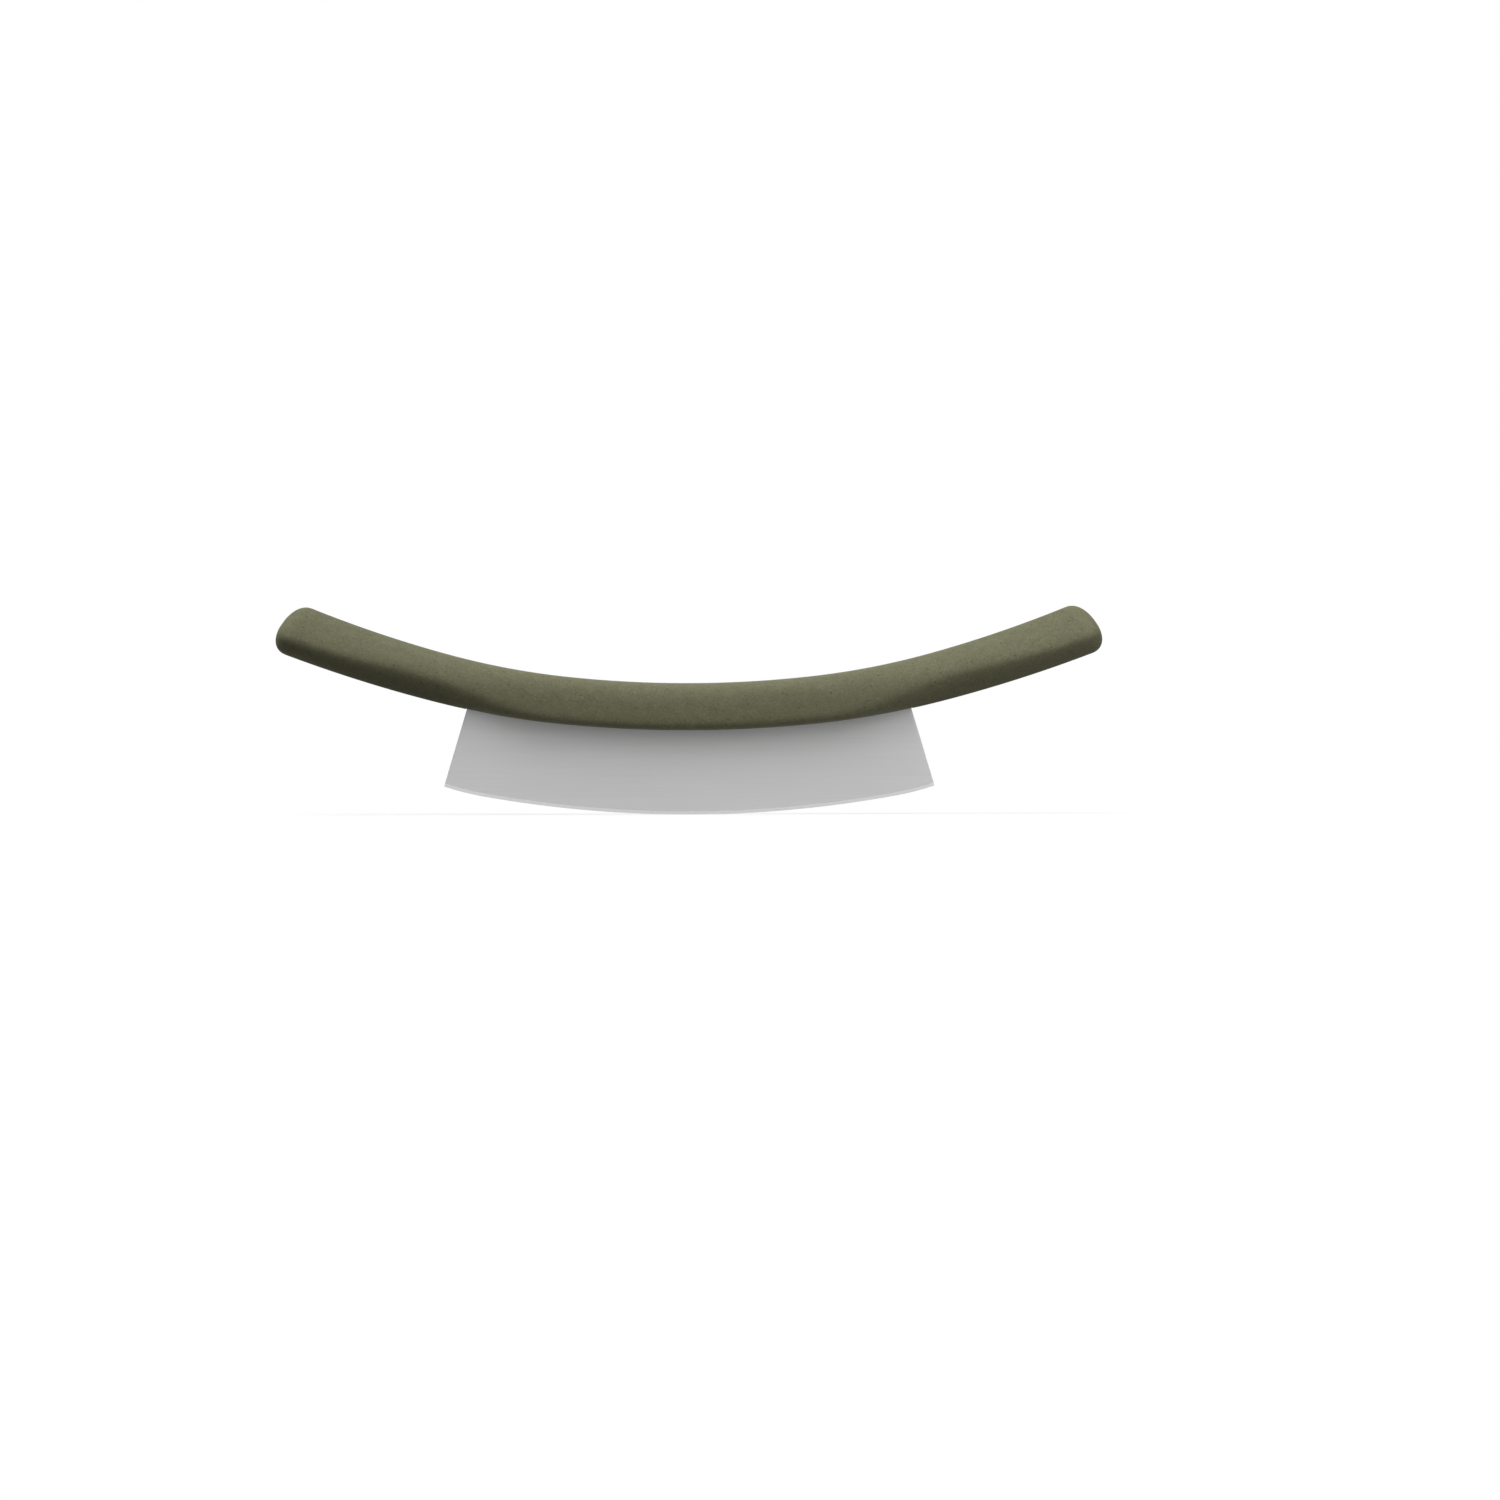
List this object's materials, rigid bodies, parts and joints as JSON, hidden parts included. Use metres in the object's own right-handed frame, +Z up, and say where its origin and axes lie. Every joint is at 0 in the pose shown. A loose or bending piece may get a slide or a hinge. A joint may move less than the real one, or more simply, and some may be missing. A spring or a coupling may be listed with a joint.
{
  "type": "mezzaluna",
  "caption": "Single-bladed mezzaluna: a broad curved satin steel blade under a long curved olive-green handle of wood-fibre composite.",
  "frame": {"origin": "lowest point of the cutting edge, at the middle of the blade's width and thickness, with the blade standing upright", "axes": "+X along the handle, +Y across the blade's thickness towards the back, +Z up from the cutting edge to the handle"},
  "size_m": [0.37, 0.0254, 0.093],
  "materials": {
    "blade_steel": "satin",
    "fibre_composite": "matte, with fine wood fibres",
    "seal_rubber": "matte",
    "pin_steel": "plain drawn bar"
  },
  "bodies": {
    "root": {"blade": "blade_steel", "handle_front": "fibre_composite", "handle_back": "fibre_composite", "slot_seal": "seal_rubber", "tang_pin_1": "pin_steel", "tang_pin_2": "pin_steel", "tang_pin_3": "pin_steel", "tang_pin_4": "pin_steel", "tang_pin_5": "pin_steel", "locating_dowel_1": "pin_steel", "locating_dowel_2": "pin_steel", "locating_dowel_3": "pin_steel", "locating_dowel_4": "pin_steel"}
  },
  "joints": []
}
